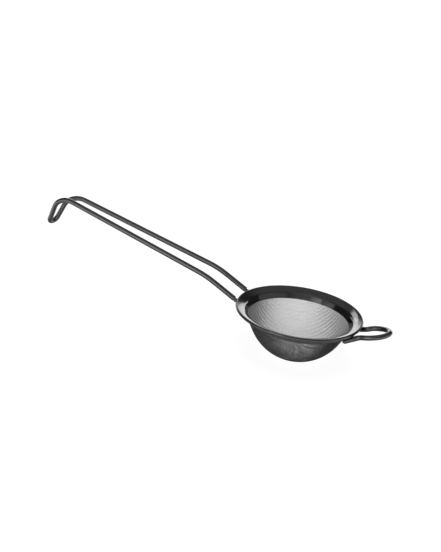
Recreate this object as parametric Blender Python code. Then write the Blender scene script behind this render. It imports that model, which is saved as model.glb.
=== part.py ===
# Fine-mesh cocktail strainer: a woven cup clamped in a flanged rim, with a wire handle and a wire rest.
# Metres, +Z up. The origin is the middle of the cup's small flat foot. The handle runs along +X and the
# rest along -X. Heights inside the functions are measured from the top of the rim, so most are negative.

import math

import bmesh
import bpy
from mathutils import Vector

# Rim: one pressed ring with a rolled edge, a sloping lip and a collar
RIM_RADIUS = 0.0400            # out to the outside of the rolled edge
EDGE_ROLL_DIAMETER = 0.0019    # the tight roll round the lip
LIP_WIDTH = 0.0054             # from the middle of the roll in to the bend
LIP_DROP = 0.0021              # fall of the lip from the rim's top to the bend
SHEET_THICKNESS = 0.0005
LIP_BEND_RADIUS = 0.0006       # on the underside of the bend
COLLAR_HEIGHT = 0.0036         # from the bend down to the collar's lower edge

# Cup: a cone that runs into a round bottom with a small flat foot
WALL_SLOPE = math.radians(28.5)  # of the collar, cup and band, from upright
CUP_DEPTH = 0.0313             # from the rim's top to the foot
FOOT_RADIUS = 0.0040
MESH_THICKNESS = 0.0004

# The mesh is drawn as a coarse grid: rows of openings between the foot and the band
GRID_ROWS = 6
GRID_COLUMNS = 12              # openings in the lowest row, of which every other row has twice as many
GRID_BAR_WIDTH = 0.0018        # of the bars between the openings

# Band: squeezed round the mesh to hold it on the collar
BAND_HEIGHT = 0.0022
BAND_THICKNESS = 0.0004
BAND_OVERHANG = 0.0004         # of the band below the collar

# Wire of the handle and the rest
WIRE_DIAMETER = 0.0033

# Handle: a hairpin of wire with its closed end bent down into a hook. Its spacings are from middle to
# middle of the two wires, whose cut ends are butted against the rolled edge.
HANDLE_ROOT_SPACING = 0.0180   # where they meet the rim
HANDLE_ROOT_DROP = 0.0008      # of their middle below the middle of the roll
HANDLE_ROOT_SLOPE = math.radians(24.6)
HANDLE_RISE_LENGTH = 0.0255    # from the rim's edge to the soft bend
HANDLE_BEND_SPACING = 0.0180
HANDLE_BEND_RADIUS = 0.0600
HANDLE_SLOPE = math.radians(12)
HANDLE_RUN_LENGTH = 0.1121     # from the soft bend to the hook's corner
HOOK_SPACING = 0.0102
HOOK_BEND_RADIUS = 0.0112
HOOK_TURN = math.radians(76.5)
HOOK_DROP_LENGTH = 0.0231      # from the hook's corner to its tip
HOOK_TIP_SPACING = 0.0061
HOOK_SKEW = 0.29               # one leg of the hook stands ahead of the other by this share of the spacing

# Rest: a rounded loop of the same wire that sits on the far edge of a glass. It is pinched to a waist
# just outside the rim, and its cut ends pass under the rolled edge to the band.
REST_ROOT_SPACING = 0.0180
REST_ROOT_SLOPE = math.radians(25.5)
REST_ROOT_FLARE = math.radians(16.5)   # how much the two ends spread towards the cup
REST_WAIST_SPACING = 0.0139
REST_WAIST_REACH = 0.0045      # from the rim's edge to the waist
REST_WAIST_RADIUS = 0.0120
REST_LOOP_SPACING = 0.0170
REST_LOOP_REACH = 0.0072       # from the rim's edge to the widest place
REST_BEND_RADIUS = 0.0063
REST_SLOPE = math.radians(15.7)
REST_END_REACH = 0.0117        # from the widest place to the tip

# Welds: one nugget between each wire of the rest and the underside of the lip, and one between each cut
# end of the handle and the outside of the rolled edge
WELD_LENGTH = 0.0026
WELD_WIDTH = 0.0026
BUTT_WELD_LENGTH = 0.0006

# Clearances: between pressed layers, and between any other two pieces that touch
LAYER_GAP = 0.0002
CLEARANCE = 0.0003

# Fineness of the facets
RING_SEGMENTS = 64
ROLL_STEPS = 12
LIP_BEND_STEPS = 3
OPENING_STEPS = 3              # across an opening of the upper rows
WIRE_SIDES = 12
WIRE_BEND_STEPS = 6
ROUND_END_STEPS = 7
WELD_SEGMENTS = 16
WELD_RINGS = 3
SHARP_ANGLE = math.radians(40)

# A rounded corner takes up at most this share of each straight stretch beside it
CORNER_SHARE = 0.49

# Sizes that follow from the ones above
ROLL_RADIUS = EDGE_ROLL_DIAMETER / 2
WIRE_RADIUS = WIRE_DIAMETER / 2
ROLL_CENTRE_RADIUS = RIM_RADIUS - ROLL_RADIUS
BEND_POINT = Vector((ROLL_CENTRE_RADIUS - LIP_WIDTH, -LIP_DROP))
COLLAR_BOTTOM = -LIP_DROP - COLLAR_HEIGHT
MESH_OFFSET = SHEET_THICKNESS + LAYER_GAP
BAND_OFFSET = MESH_OFFSET + MESH_THICKNESS + LAYER_GAP
STACK_THICKNESS = BAND_OFFSET + BAND_THICKNESS


def lip_angle():
    """Slope of the lip, which leaves the bend and runs tangent onto the top of the roll."""
    across = LIP_WIDTH
    up = LIP_DROP - ROLL_RADIUS
    return math.atan2(up, across) + math.asin(ROLL_RADIUS / math.hypot(across, up))


def wall_radius(height, offset):
    """Radius of the conical wall at a height, this far outside the collar's inner face."""
    inner = BEND_POINT.x - (BEND_POINT.y - height) * math.tan(WALL_SLOPE)
    return inner + offset / math.cos(WALL_SLOPE)


def underside_corner():
    """Where the lip's underside would meet the collar's outer face without a bend radius."""
    angle = lip_angle()
    below_lip = Vector((math.sin(angle), -math.cos(angle)))
    outside_wall = Vector((math.cos(WALL_SLOPE), -math.sin(WALL_SLOPE)))
    return BEND_POINT + SHEET_THICKNESS * (below_lip + outside_wall) / (1 + below_lip.dot(outside_wall))


def lip_underside(radius):
    """Height of the lip's underside at a radius."""
    corner = underside_corner()
    return corner.y + (radius - corner.x) * math.tan(lip_angle())


def rounded_corner(before, corner, after, radius, steps):
    """Points of an arc that rounds one corner of a polyline, in two or three dimensions."""
    to_before = (before - corner).normalized()
    to_after = (after - corner).normalized()
    half = to_before.angle(to_after) / 2
    longest = CORNER_SHARE * min((before - corner).length, (after - corner).length)
    reach = min(radius / math.tan(half), longest)
    start = corner + to_before * reach
    end = corner + to_after * reach
    centre = corner + (to_before + to_after).normalized() * reach / math.cos(half)
    arm = start - centre
    other = end - centre
    sweep = arm.angle(other)
    points = []
    for step in range(steps + 1):
        share = step / steps
        mixed = arm * math.sin((1 - share) * sweep) + other * math.sin(share * sweep)
        points.append(centre + mixed / math.sin(sweep))
    return points


def clean_scene():
    for item in list(bpy.data.objects):
        bpy.data.objects.remove(item, do_unlink=True)


def metal(name, colour, roughness):
    material = bpy.data.materials.new(name)
    material.use_nodes = True
    shader = material.node_tree.nodes["Principled BSDF"]
    shader.inputs["Base Color"].default_value = (*colour, 1.0)
    shader.inputs["Metallic"].default_value = 1.0
    shader.inputs["Roughness"].default_value = roughness
    return material


def place(name, data, material, parent):
    """Add an object at the middle of the rim's top and give it its material."""
    item = bpy.data.objects.new(name, data)
    bpy.context.scene.collection.objects.link(item)
    data.materials.append(material)
    item.parent = parent
    item.location = (0, 0, CUP_DEPTH)
    return item


def turned_piece(name, profile, material, parent):
    """Turn a closed profile of (radius, height) points round the axis into one closed solid."""
    shape = bmesh.new()
    points = [shape.verts.new((point[0], 0, point[1])) for point in profile]
    edges = [shape.edges.new(pair) for pair in zip(points, points[1:] + points[:1])]
    bmesh.ops.spin(shape, geom=points + edges, cent=(0, 0, 0), axis=(0, 0, 1), dvec=(0, 0, 0),
                   angle=2 * math.pi, steps=RING_SEGMENTS, use_merge=True)
    bmesh.ops.remove_doubles(shape, verts=shape.verts, dist=0.000001)
    bmesh.ops.recalc_face_normals(shape, faces=shape.faces)
    mesh = bpy.data.meshes.new(name)
    shape.to_mesh(mesh)
    shape.free()
    mesh.shade_smooth()
    mesh.set_sharp_from_angle(angle=SHARP_ANGLE)
    return place(name, mesh, material, parent)


def rim_profile():
    """The rim's section: up the collar, out over the lip, round the roll and back underneath."""
    angle = lip_angle()
    outward = Vector((math.cos(angle), math.sin(angle)))
    upward = Vector((-math.sin(angle), math.cos(angle)))
    roll_centre = Vector((ROLL_CENTRE_RADIUS, -ROLL_RADIUS))
    collar_inside = Vector((wall_radius(COLLAR_BOTTOM, 0), COLLAR_BOTTOM))
    collar_outside = Vector((wall_radius(COLLAR_BOTTOM, SHEET_THICKNESS), COLLAR_BOTTOM))
    # the lip's underside runs into the roll below its top by one sheet
    depth_in_roll = math.asin((ROLL_RADIUS - SHEET_THICKNESS) / ROLL_RADIUS)
    sweep = 1.5 * math.pi + depth_in_roll
    roll = []
    for step in range(ROLL_STEPS + 1):
        turn = math.pi / 2 - sweep * step / ROLL_STEPS
        roll.append(roll_centre + ROLL_RADIUS * (outward * math.cos(turn) + upward * math.sin(turn)))
    top_bend = rounded_corner(collar_inside, BEND_POINT, roll[0], LIP_BEND_RADIUS + SHEET_THICKNESS, LIP_BEND_STEPS)
    low_bend = rounded_corner(roll[-1], underside_corner(), collar_outside, LIP_BEND_RADIUS, LIP_BEND_STEPS)
    return [collar_inside] + top_bend + roll + low_bend + [collar_outside]


class CupFace:
    """One face of the cup: a dome that starts at the edge of the foot and runs into the cone."""

    def __init__(self, offset, foot_height):
        sine, cosine = math.sin(WALL_SLOPE), math.cos(WALL_SLOPE)
        # the dome touches the cone and passes through the edge of the foot
        reach = wall_radius(foot_height, offset) * cosine
        root = math.sqrt(reach ** 2 - cosine ** 2 * (reach ** 2 + (sine * FOOT_RADIUS) ** 2))
        self.offset = offset
        self.dome_radius = (reach + root) / cosine ** 2
        self.dome_centre = foot_height + math.sqrt(self.dome_radius ** 2 - FOOT_RADIUS ** 2)
        self.first_turn = -math.acos(FOOT_RADIUS / self.dome_radius)
        self.cone_height = self.dome_centre - self.dome_radius * sine
        self.dome_length = self.dome_radius * (-WALL_SLOPE - self.first_turn)
        self.length = self.length_to(underside_corner().y - 2 * CLEARANCE)

    def length_to(self, height):
        """Length along the face from the edge of the foot to a height on the cone."""
        return self.dome_length + (height - self.cone_height) / math.cos(WALL_SLOPE)

    def point(self, share):
        """Radius and height at a share of the length from the edge of the foot to the top."""
        beyond_dome = share * self.length - self.dome_length
        if beyond_dome < 0:
            turn = self.first_turn + share * self.length / self.dome_radius
            return self.dome_radius * math.cos(turn), self.dome_centre + self.dome_radius * math.sin(turn)
        height = self.cone_height + beyond_dome * math.cos(WALL_SLOPE)
        return wall_radius(height, self.offset), height


def grid_rings(face):
    """The cup's rings, each as a share of the face's length and the count of openings that it bounds: the
    edge of the foot, the lower and upper edge of every row of openings, and the top."""
    top = face.length_to(COLLAR_BOTTOM - BAND_OVERHANG)
    pitch = (top - GRID_BAR_WIDTH) / GRID_ROWS
    rings = [(0, 0)]
    for row in range(GRID_ROWS):
        openings = GRID_COLUMNS if row == 0 else 2 * GRID_COLUMNS
        low = GRID_BAR_WIDTH + row * pitch
        rings.append((low / face.length, openings))
        rings.append(((low + pitch - GRID_BAR_WIDTH) / face.length, openings))
    return rings + [(1, 0)]


def ring_turns(openings, count, radius):
    """Angles of a ring's points. Each opening has a bar before it, one facet wide, and shares out the rest."""
    if openings == 0:
        return [2 * math.pi * turn / count for turn in range(count)]
    facets = count // openings
    pitch = 2 * math.pi / openings
    bar = GRID_BAR_WIDTH / radius
    turns = []
    for opening in range(openings):
        start = opening * pitch - bar / 2
        turns.append(start)
        turns += [start + bar + (pitch - bar) * step / (facets - 1) for step in range(facets - 1)]
    return turns


def grid_cup(name, material, parent):
    """The cup as one closed shell with rows of openings through it."""
    outside = CupFace(MESH_OFFSET + MESH_THICKNESS, -CUP_DEPTH)
    inside = CupFace(MESH_OFFSET, -CUP_DEPTH + MESH_THICKNESS)
    rings = grid_rings(outside)
    count = 2 * GRID_COLUMNS * (OPENING_STEPS + 1)
    shape = bmesh.new()

    def add_rings(face):
        layer = []
        for share, openings in rings:
            radius, height = face.point(share)
            turns = ring_turns(openings, count, outside.point(share)[0])
            layer.append([shape.verts.new((radius * math.cos(turn), radius * math.sin(turn), height)) for turn in turns])
        return layer

    def is_open(ring, turn):
        openings = rings[ring][1]
        is_row = 0 < ring < len(rings) - 1 and ring % 2 == 1
        return is_row and turn % (count // openings) != 0

    layers = [add_rings(outside), add_rings(inside)]
    for ring in range(len(rings) - 1):
        for turn in range(count):
            following = (turn + 1) % count
            if not is_open(ring, turn):
                for layer in layers:
                    shape.faces.new((layer[ring][turn], layer[ring][following],
                                     layer[ring + 1][following], layer[ring + 1][turn]))
    for layer, height in zip(layers, (-CUP_DEPTH, -CUP_DEPTH + MESH_THICKNESS)):
        hub = shape.verts.new((0, 0, height))
        for turn in range(count):
            shape.faces.new((hub, layer[0][turn], layer[0][(turn + 1) % count]))
    # every edge that is still open has its twin on the other face
    twins = {}
    for outer_ring, inner_ring in zip(*layers):
        twins.update(zip(outer_ring, inner_ring))
    for edge in [edge for edge in shape.edges if edge.is_boundary and edge.verts[0] in twins]:
        first, second = edge.verts
        shape.faces.new((first, second, twins[second], twins[first]))
    bmesh.ops.recalc_face_normals(shape, faces=shape.faces)
    mesh = bpy.data.meshes.new(name)
    shape.to_mesh(mesh)
    shape.free()
    mesh.shade_smooth()
    mesh.set_sharp_from_angle(angle=SHARP_ANGLE)
    return place(name, mesh, material, parent)


def band_profile():
    bottom = COLLAR_BOTTOM - BAND_OVERHANG
    top = bottom + BAND_HEIGHT
    edge = BAND_THICKNESS / 4
    return [
        Vector((wall_radius(bottom, BAND_OFFSET), bottom)),
        Vector((wall_radius(bottom, STACK_THICKNESS - edge), bottom)),
        Vector((wall_radius(bottom + edge, STACK_THICKNESS), bottom + edge)),
        Vector((wall_radius(top - edge, STACK_THICKNESS), top - edge)),
        Vector((wall_radius(top, STACK_THICKNESS - edge), top)),
        Vector((wall_radius(top, BAND_OFFSET), top)),
    ]


def off_roll(point):
    """Distance of a point from the surface of the rolled edge."""
    out = math.hypot(point.x, point.y) - ROLL_CENTRE_RADIUS
    return math.hypot(out, point.z + ROLL_RADIUS) - ROLL_RADIUS


def above_band(point):
    """How far a point stands out from the band's outer face, along the radius."""
    return math.hypot(point.x, point.y) - wall_radius(point.z, STACK_THICKNESS)


class Root:
    """Where one wire's middle line crosses the circle of the rolled edge, and the way it runs there."""

    def __init__(self, spacing, slope, flare, drop):
        half = spacing / 2
        flat = Vector((math.cos(flare), -math.sin(flare), 0))
        self.direction = (flat * math.cos(slope) + Vector((0, 0, math.sin(slope)))).normalized()
        self.side = self.direction.cross(Vector((0, 0, 1))).normalized()
        self.up = self.side.cross(self.direction)
        along = math.sqrt(ROLL_CENTRE_RADIUS ** 2 - half ** 2)
        self.crossing = Vector((along, half, -ROLL_RADIUS - drop))

    def across(self, radius, angle):
        """A step square to the wire."""
        return radius * (self.side * math.cos(angle) + self.up * math.sin(angle))

    def end_face(self, middle):
        """Corners of the end face of a wire that is cut here."""
        return [middle + self.across(WIRE_RADIUS, 2 * math.pi * turn / WIRE_SIDES) for turn in range(WIRE_SIDES)]

    def end_on_band(self):
        """Walk in from the rolled edge until the end face stands one clearance off the band."""
        middle = self.crossing.copy()
        step = self.direction * CLEARANCE / 4
        while all(above_band(point) > CLEARANCE for point in self.end_face(middle - step)):
            middle -= step
        return middle

    def end_at_roll(self):
        """Walk out from the rolled edge until the end face leaves room for the weld."""
        middle = self.crossing.copy()
        step = self.direction * CLEARANCE / 4
        while min(off_roll(point) for point in self.end_face(middle) + [middle]) < BUTT_WELD_LENGTH + 2 * CLEARANCE:
            middle += step
        return middle

    def at_radius(self, radius):
        """The point of the root's middle line at a distance from the axis."""
        flat = Vector((self.direction.x, self.direction.y))
        start = Vector((self.crossing.x, self.crossing.y))
        slant = start.dot(flat) / flat.length_squared
        spare = (radius ** 2 - start.length_squared) / flat.length_squared
        return self.crossing + self.direction * (math.sqrt(slant ** 2 + spare) - slant)


def round_end(end, direction, reach):
    """Half of a U-turn: from the end of a leg at +Y to the middle of the turn, at y = 0."""
    points = []
    for step in range(1, ROUND_END_STEPS + 1):
        turn = math.pi / 2 * step / ROUND_END_STEPS
        point = end + direction * reach * math.sin(turn)
        point.y = end.y * math.cos(turn)
        points.append(point)
    return points


def mirrored(points):
    return [Vector((point.x, -point.y, point.z)) for point in points]


def handle_path():
    """The handle's middle line, out along one wire, round the hook's tip and back along the other."""
    root = Root(HANDLE_ROOT_SPACING, HANDLE_ROOT_SLOPE, 0, HANDLE_ROOT_DROP)
    end = root.end_at_roll()
    rise = Vector((math.cos(HANDLE_ROOT_SLOPE), 0, math.sin(HANDLE_ROOT_SLOPE)))
    run = Vector((math.cos(HANDLE_SLOPE), 0, math.sin(HANDLE_SLOPE)))
    down = Vector((math.cos(HANDLE_SLOPE - HOOK_TURN), 0, math.sin(HANDLE_SLOPE - HOOK_TURN)))
    bend = root.crossing + rise * HANDLE_RISE_LENGTH
    bend.y = HANDLE_BEND_SPACING / 2
    corner = bend + run * HANDLE_RUN_LENGTH
    corner.y = HOOK_SPACING / 2
    tip_radius = HOOK_TIP_SPACING / 2
    leg_end = corner + down * (HOOK_DROP_LENGTH - tip_radius)
    leg_end.y = tip_radius
    arm = [end] + rounded_corner(end, bend, corner, HANDLE_BEND_RADIUS, WIRE_BEND_STEPS)
    hook = rounded_corner(bend, corner, leg_end, HOOK_BEND_RADIUS, WIRE_BEND_STEPS) + [leg_end]
    hook += round_end(leg_end, down, tip_radius)
    ahead = [point + run * HOOK_SKEW * point.y for point in hook]
    behind = [point - run * HOOK_SKEW * point.y for point in hook]
    return root, arm + ahead + mirrored(arm + behind)[-2::-1]


def rest_path():
    """The rest's middle line, drawn along +X and then turned half way round the axis, to -X."""
    drop = (ROLL_RADIUS + WIRE_RADIUS + CLEARANCE) / math.cos(REST_ROOT_SLOPE)
    root = Root(REST_ROOT_SPACING, REST_ROOT_SLOPE, REST_ROOT_FLARE, drop)
    root_climb = math.tan(REST_ROOT_SLOPE)
    waist = root.crossing + Vector((REST_WAIST_REACH, 0, REST_WAIST_REACH * root_climb))
    waist.y = REST_WAIST_SPACING / 2
    widening = REST_LOOP_REACH - REST_WAIST_REACH
    wide = waist + Vector((widening, 0, widening * (root_climb + math.tan(REST_SLOPE)) / 2))
    wide.y = REST_LOOP_SPACING / 2
    run = Vector((math.cos(REST_SLOPE), 0, math.sin(REST_SLOPE)))
    leg = [root.end_on_band(), root.crossing]
    leg += rounded_corner(root.crossing, waist, wide, REST_WAIST_RADIUS, WIRE_BEND_STEPS)
    leg += rounded_corner(waist, wide, wide + run * REST_END_REACH, REST_BEND_RADIUS, WIRE_BEND_STEPS)
    leg += round_end(leg[-1], run, REST_END_REACH)
    path = leg + mirrored(leg)[-2::-1]
    return root, [Vector((-point.x, -point.y, point.z)) for point in path]


def wire_piece(name, path, material, parent):
    """A round wire along a path, with its ends closed."""
    curve = bpy.data.curves.new(name, "CURVE")
    curve.dimensions = "3D"
    curve.bevel_depth = WIRE_RADIUS
    curve.bevel_resolution = WIRE_SIDES // 2 - 2
    curve.use_fill_caps = True
    spline = curve.splines.new("POLY")
    spline.points.add(len(path) - 1)
    for knot, point in zip(spline.points, path):
        knot.co = (*point, 1)
    return place(name, curve, material, parent)


def nugget(name, point_at, side, mirror, material, parent):
    """A closed lump between two surfaces. point_at gives the point of one of them at a share of the lump's
    reach and an angle round its middle."""
    shape = bmesh.new()

    def add_point(ring, turn, is_far):
        point = point_at(ring / WELD_RINGS, 2 * math.pi * turn / WELD_SEGMENTS, is_far)
        return shape.verts.new((point.x * side, point.y * mirror, point.z))

    def add_face_disc(is_far):
        hub = add_point(0, 0, is_far)
        circles = []
        for ring in range(1, WELD_RINGS + 1):
            circles.append([add_point(ring, turn, is_far) for turn in range(WELD_SEGMENTS)])
        for turn in range(WELD_SEGMENTS):
            following = (turn + 1) % WELD_SEGMENTS
            shape.faces.new((hub, circles[0][turn], circles[0][following]))
            for inner, outer in zip(circles, circles[1:]):
                shape.faces.new((inner[turn], outer[turn], outer[following], inner[following]))
        return circles[-1]

    low = add_face_disc(False)
    high = add_face_disc(True)
    for turn in range(WELD_SEGMENTS):
        following = (turn + 1) % WELD_SEGMENTS
        shape.faces.new((low[turn], low[following], high[following], high[turn]))
    bmesh.ops.recalc_face_normals(shape, faces=shape.faces)
    mesh = bpy.data.meshes.new(name)
    shape.to_mesh(mesh)
    shape.free()
    mesh.shade_smooth()
    mesh.set_sharp_from_angle(angle=SHARP_ANGLE)
    return place(name, mesh, material, parent)


def butt_weld(name, root, mirror, material, parent):
    """A nugget that fills the space between a wire's cut end and the outside of the roll."""
    end = root.end_at_roll()
    step = root.direction * CLEARANCE / 6

    def point_at(share, angle, is_roll):
        point = end - root.direction * CLEARANCE + root.across(WELD_WIDTH / 2 * share, angle)
        if is_roll:
            while off_roll(point) > CLEARANCE and math.hypot(point.x, point.y) > ROLL_CENTRE_RADIUS + CLEARANCE:
                point = point - step
        return point

    return nugget(name, point_at, 1, mirror, material, parent)


def lap_weld(name, root, mirror, material, parent):
    """A nugget that fills the space between a wire's top and the lip's underside."""
    outermost = ROLL_CENTRE_RADIUS - ROLL_RADIUS - CLEARANCE
    middle = root.at_radius(outermost - WELD_LENGTH / 2)
    flat = Vector((root.direction.x, root.direction.y, 0))
    climb = root.direction.z / flat.length
    along = flat.normalized()
    across = Vector((-along.y, along.x, 0))
    hollow = WIRE_RADIUS + CLEARANCE

    def point_at(share, angle, is_lip):
        ahead = WELD_LENGTH / 2 * share * math.cos(angle)
        aside = WELD_WIDTH / 2 * share * math.sin(angle)
        point = middle + along * ahead + across * aside
        if is_lip:
            point.z = lip_underside(math.hypot(point.x, point.y)) - CLEARANCE
        else:
            point.z = middle.z + climb * ahead + math.sqrt(hollow ** 2 - aside ** 2) * math.hypot(1, climb)
        return point

    return nugget(name, point_at, -1, mirror, material, parent)


def build():
    clean_scene()
    frame = bpy.data.objects.new("strainer", None)
    bpy.context.scene.collection.objects.link(frame)

    pressed_steel = metal("pressed_steel", (0.16, 0.16, 0.17), 0.22)
    woven_steel = metal("woven_steel", (0.22, 0.22, 0.23), 0.40)
    drawn_wire = metal("drawn_wire", (0.15, 0.15, 0.16), 0.25)
    weld_metal = metal("weld_metal", (0.10, 0.10, 0.11), 0.45)

    turned_piece("rim_ring", rim_profile(), pressed_steel, frame)
    grid_cup("mesh_cup", woven_steel, frame)
    turned_piece("clamp_band", band_profile(), pressed_steel, frame)

    handle_root, handle = handle_path()
    rest_root, rest = rest_path()
    wire_piece("handle_wire", handle, drawn_wire, frame)
    wire_piece("rest_wire", rest, drawn_wire, frame)

    butt_weld("handle_weld_left", handle_root, 1, weld_metal, frame)
    butt_weld("handle_weld_right", handle_root, -1, weld_metal, frame)
    lap_weld("rest_weld_left", rest_root, -1, weld_metal, frame)
    lap_weld("rest_weld_right", rest_root, 1, weld_metal, frame)


build()
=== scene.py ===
# Fine-mesh cocktail strainer in gunmetal plating: surfaces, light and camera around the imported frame.
import bpy
import math
import random
from mathutils import Matrix, Vector


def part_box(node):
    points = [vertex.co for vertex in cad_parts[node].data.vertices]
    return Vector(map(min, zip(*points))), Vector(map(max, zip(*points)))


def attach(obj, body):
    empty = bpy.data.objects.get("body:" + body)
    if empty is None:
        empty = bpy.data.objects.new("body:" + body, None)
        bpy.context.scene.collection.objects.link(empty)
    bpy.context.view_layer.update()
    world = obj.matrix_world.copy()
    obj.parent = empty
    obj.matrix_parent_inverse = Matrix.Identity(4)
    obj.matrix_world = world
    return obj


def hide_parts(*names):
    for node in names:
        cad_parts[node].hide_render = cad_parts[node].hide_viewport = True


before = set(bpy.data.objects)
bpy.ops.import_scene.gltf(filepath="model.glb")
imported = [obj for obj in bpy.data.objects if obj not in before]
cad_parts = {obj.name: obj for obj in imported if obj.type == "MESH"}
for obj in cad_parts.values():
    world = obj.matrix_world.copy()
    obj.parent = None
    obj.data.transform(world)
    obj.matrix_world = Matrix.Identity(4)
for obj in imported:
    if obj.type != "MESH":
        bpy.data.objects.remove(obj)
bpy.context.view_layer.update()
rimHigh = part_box("rim_ring")[1]
print("frame loaded:", len(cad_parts), "nodes")


startSize = 0.001                    # of the small plane that is merged to a section's first point
mergeDistance = 0.000002
sharpAngle = math.radians(35)        # an edge of a turned piece that bends more than this stays sharp
cornerShare = 0.49                   # the most of a straight stretch that the rounding of one end takes up


# Shape of the cup and rim in metres, the same sizes as the solids have
cup = {
    "radius": rimHigh.x,             # out to the rolled edge
    "top": rimHigh.z,
    "edgeRoll": 0.0019,
    "lipWidth": 0.0054,
    "lipDrop": 0.0021,
    "sheet": 0.0005,
    "collarHeight": 0.0036,
    "wallSlope": math.radians(28.5),
    "footRadius": 0.0040,
    "clothOffset": 0.0009,           # middle of the cloth, outside the collar's inner face
    "clothTop": 0.0003,              # how far the cloth's cut edge stays under the lip's bend
}
rollRadius = cup["edgeRoll"] / 2
rollCentre = Vector((cup["radius"] - rollRadius, cup["top"] - rollRadius))
bendPoint = Vector((rollCentre.x - cup["lipWidth"], cup["top"] - cup["lipDrop"]))
collarBottom = bendPoint.y - cup["collarHeight"]


def wallRadius(height, offset):
    # radius of the straight wall at a height, this far outside the collar's inner face
    inner = bendPoint.x - (bendPoint.y - height) * math.tan(cup["wallSlope"])
    return inner + offset / math.cos(cup["wallSlope"])


def roundedCorner(before, corner, after, radius, steps):
    # points of the arc that rounds one corner, flat or in space
    toBefore = (before - corner).normalized()
    toAfter = (after - corner).normalized()
    half = toBefore.angle(toAfter) / 2
    longest = cornerShare * min((before - corner).length, (after - corner).length)
    reach = min(radius / math.tan(half), longest)
    centre = corner + (toBefore + toAfter).normalized() * reach / math.cos(half)
    arm = corner + toBefore * reach - centre
    other = corner + toAfter * reach - centre
    sweep = arm.angle(other)
    points = []
    for step in range(steps + 1):
        share = step / steps
        mixed = arm * math.sin((1 - share) * sweep) + other * math.sin(share * sweep)
        points.append(centre + mixed / math.sin(sweep))
    return points


def deselect():
    bpy.ops.object.select_all(action="DESELECT")


def wireMesh(routes, radius, roundness, sharp):
    # a bevelled curve through each route, closed at its cut ends, and all made one mesh
    deselect()
    bpy.ops.curve.primitive_bezier_curve_add()
    piece = bpy.context.object
    curve = piece.data
    curve.splines.clear()
    for route in routes:
        spline = curve.splines.new("POLY")
        spline.points.add(len(route) - 1)
        for knot, point in zip(spline.points, route):
            knot.co = (*point, 1)
    curve.dimensions = "3D"
    curve.bevel_depth = radius
    curve.bevel_resolution = roundness
    curve.use_fill_caps = True
    bpy.ops.object.convert(target="MESH")
    bpy.ops.object.shade_smooth_by_angle(angle=sharp)
    return piece


def finishPiece(piece, name, material, nodes):
    # settle a piece in the frame: its place goes into its mesh, and it stands for its solids
    piece.name = name
    piece.data.name = name
    deselect()
    piece.select_set(True)
    bpy.context.view_layer.objects.active = piece
    bpy.ops.object.transform_apply(location=True, rotation=True, scale=True)
    piece.data.materials.clear()
    piece.data.materials.append(material)
    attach(piece, "root")
    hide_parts(*nodes)


# Shader effects that the finishes share
plating = {
    "clouds": {"Scale": 90.0, "Detail": 3.0, "Roughness": 0.55},
    "mottling": {"Scale": 900.0, "Detail": 2.0, "Roughness": 0.6},
    "mottlingShare": 0.35,
    "contrast": 3.0,
    "smudges": {"Scale": 45.0, "Detail": 4.0, "Distortion": 1.2},
    "smudgeRange": {"From Min": 0.5, "From Max": 0.75},
}

polish = {
    "stretch": (0.02, 1, 1),         # the lines are drawn out along x
    "lines": {"Detail": 3.0, "Roughness": 0.7},
    "scratches": {"Detail": 2.0},
    "scratchDensity": 0.3,           # as a share of the density of the lines
    "scratchRange": {"From Min": 0.66, "From Max": 0.74},
}


def newGroup(name, inputs, outputs):
    group = bpy.data.node_groups.new(name, "ShaderNodeTree")
    for label, kind, value in inputs:
        socket = group.interface.new_socket(name=label, in_out="INPUT", socket_type=kind)
        if value is not None:
            socket.default_value = value
    for label, kind in outputs:
        group.interface.new_socket(name=label, in_out="OUTPUT", socket_type=kind)
    start = group.nodes.new("NodeGroupInput")
    end = group.nodes.new("NodeGroupOutput")
    return group, start, end


def addNode(tree, kind, values=None, **settings):
    node = tree.nodes.new(kind)
    for key, value in settings.items():
        setattr(node, key, value)
    for key, value in (values or {}).items():
        node.inputs[key].default_value = value
    return node


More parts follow.
